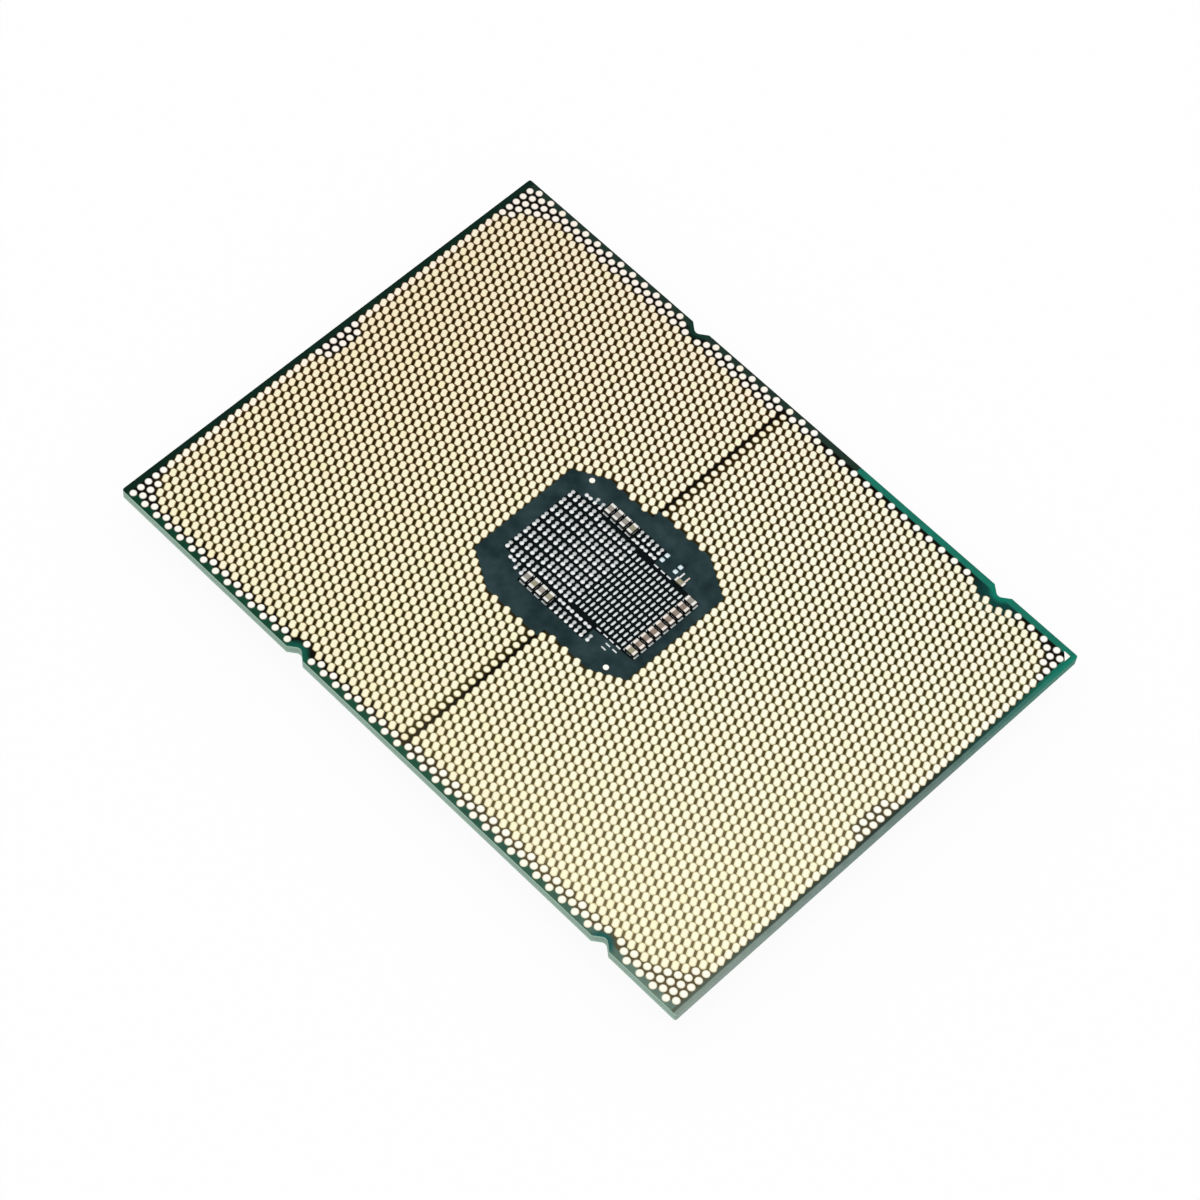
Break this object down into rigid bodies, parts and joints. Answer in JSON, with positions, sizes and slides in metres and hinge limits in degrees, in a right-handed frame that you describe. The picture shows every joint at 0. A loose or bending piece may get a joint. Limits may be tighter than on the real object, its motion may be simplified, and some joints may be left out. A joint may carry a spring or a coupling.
{
  "type": "cpu processor",
  "caption": "Flat rectangular land-grid-array processor: laminate substrate with gold contact lands and small capacitors on one side, a stepped metal heat spreader on the other.",
  "frame": {"origin": "centre of the heat spreader's contact face, which lies on the surface below", "axes": "+X along the long side, with the pin one mark at +X +Y; +Y along the short side; +Z from the heat spreader towards the lands"},
  "size_m": [0.0776, 0.0564, 0.0052],
  "materials": {
    "nickel_plate": "nickel plate on copper, satin",
    "lid_sealant": "black silicone, matte",
    "solder_metal": "solder sheet, dull",
    "silicon": "polished silicon",
    "underfill_epoxy": "filled epoxy, satin",
    "die_side_mask": "dark green solder mask, satin",
    "land_side_mask": "dark green solder mask, satin",
    "buildup_laminate": "cut resin edge, pale green",
    "core_laminate": "cut glass-fibre edge, grey-green",
    "gold_plate": "gold plate, bright",
    "pad_metal": "soldered pads, bright",
    "capacitor_ceramic": "fired ceramic with tinned ends",
    "chip_ceramic": "fired ceramic with tinned leads"
  },
  "bodies": {
    "root": {"heat_spreader": "nickel_plate", "lid_sealant": "lid_sealant", "thermal_interface": "solder_metal", "silicon_die": "silicon", "underfill": "underfill_epoxy", "die_side_mask": "die_side_mask", "die_side_buildup": "buildup_laminate", "core_laminate": "core_laminate", "land_side_buildup": "buildup_laminate", "land_side_mask": "land_side_mask", "left_land_field": "gold_plate", "right_land_field": "gold_plate", "pin_one_mark": "gold_plate", "lone_land_left": "gold_plate", "lone_land_right": "gold_plate", "left_pad_block": "pad_metal", "middle_pad_block": "pad_metal", "right_pad_block": "pad_metal", "upper_pad_group": "pad_metal", "lower_pad_group": "pad_metal", "corner_chip": "chip_ceramic", "test_pad_1": "pad_metal", "test_pad_2": "pad_metal", "test_pad_3": "pad_metal", "test_pad_4": "pad_metal", "upper_capacitor_1": "capacitor_ceramic", "upper_capacitor_2": "capacitor_ceramic", "upper_capacitor_3": "capacitor_ceramic", "upper_capacitor_4": "capacitor_ceramic", "lower_capacitor_1": "capacitor_ceramic", "lower_capacitor_2": "capacitor_ceramic", "lower_capacitor_3": "capacitor_ceramic", "lower_capacitor_4": "capacitor_ceramic", "side_capacitor_1": "capacitor_ceramic", "side_capacitor_2": "capacitor_ceramic", "side_capacitor_3": "capacitor_ceramic", "side_capacitor_4": "capacitor_ceramic", "side_capacitor_5": "capacitor_ceramic", "side_capacitor_6": "capacitor_ceramic", "side_capacitor_7": "capacitor_ceramic", "side_capacitor_8": "capacitor_ceramic", "side_capacitor_9": "capacitor_ceramic"}
  },
  "joints": []
}
